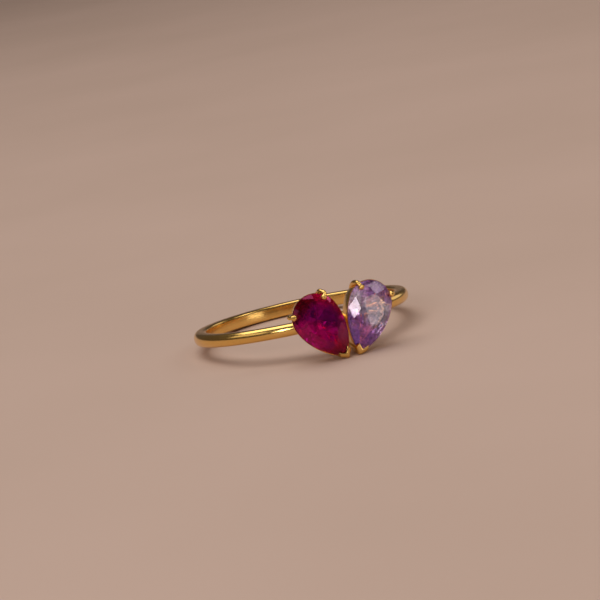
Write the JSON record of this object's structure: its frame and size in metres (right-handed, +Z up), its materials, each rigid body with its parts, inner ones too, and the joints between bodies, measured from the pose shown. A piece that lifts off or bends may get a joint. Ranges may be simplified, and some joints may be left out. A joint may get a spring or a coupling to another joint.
{
  "type": "toi et moi ring",
  "caption": "Slim gold toi et moi ring: a deep ruby-red pear stone and a pale lilac pear stone, tips together, in two claw heads with a V-shaped plate at each tip, on a half-round band. It lies on its side.",
  "frame": {"origin": "bottom centre of the ring's box, as the ring lies on its side on the surface z = 0", "axes": "+Z up from the surface; +Y from the stones at the front to the back of the band; +X to the lilac stone's side. The finger's axis leans 6.5 degrees from +Z towards +Y"},
  "size_m": [0.0188, 0.0219, 0.0059],
  "materials": {
    "gold": "polished",
    "ruby_stone": "polished",
    "lilac_stone": "polished"
  },
  "bodies": {
    "root": {"gold_mount": "gold", "ruby_pear": "ruby_stone", "lilac_pear": "lilac_stone"}
  },
  "joints": []
}
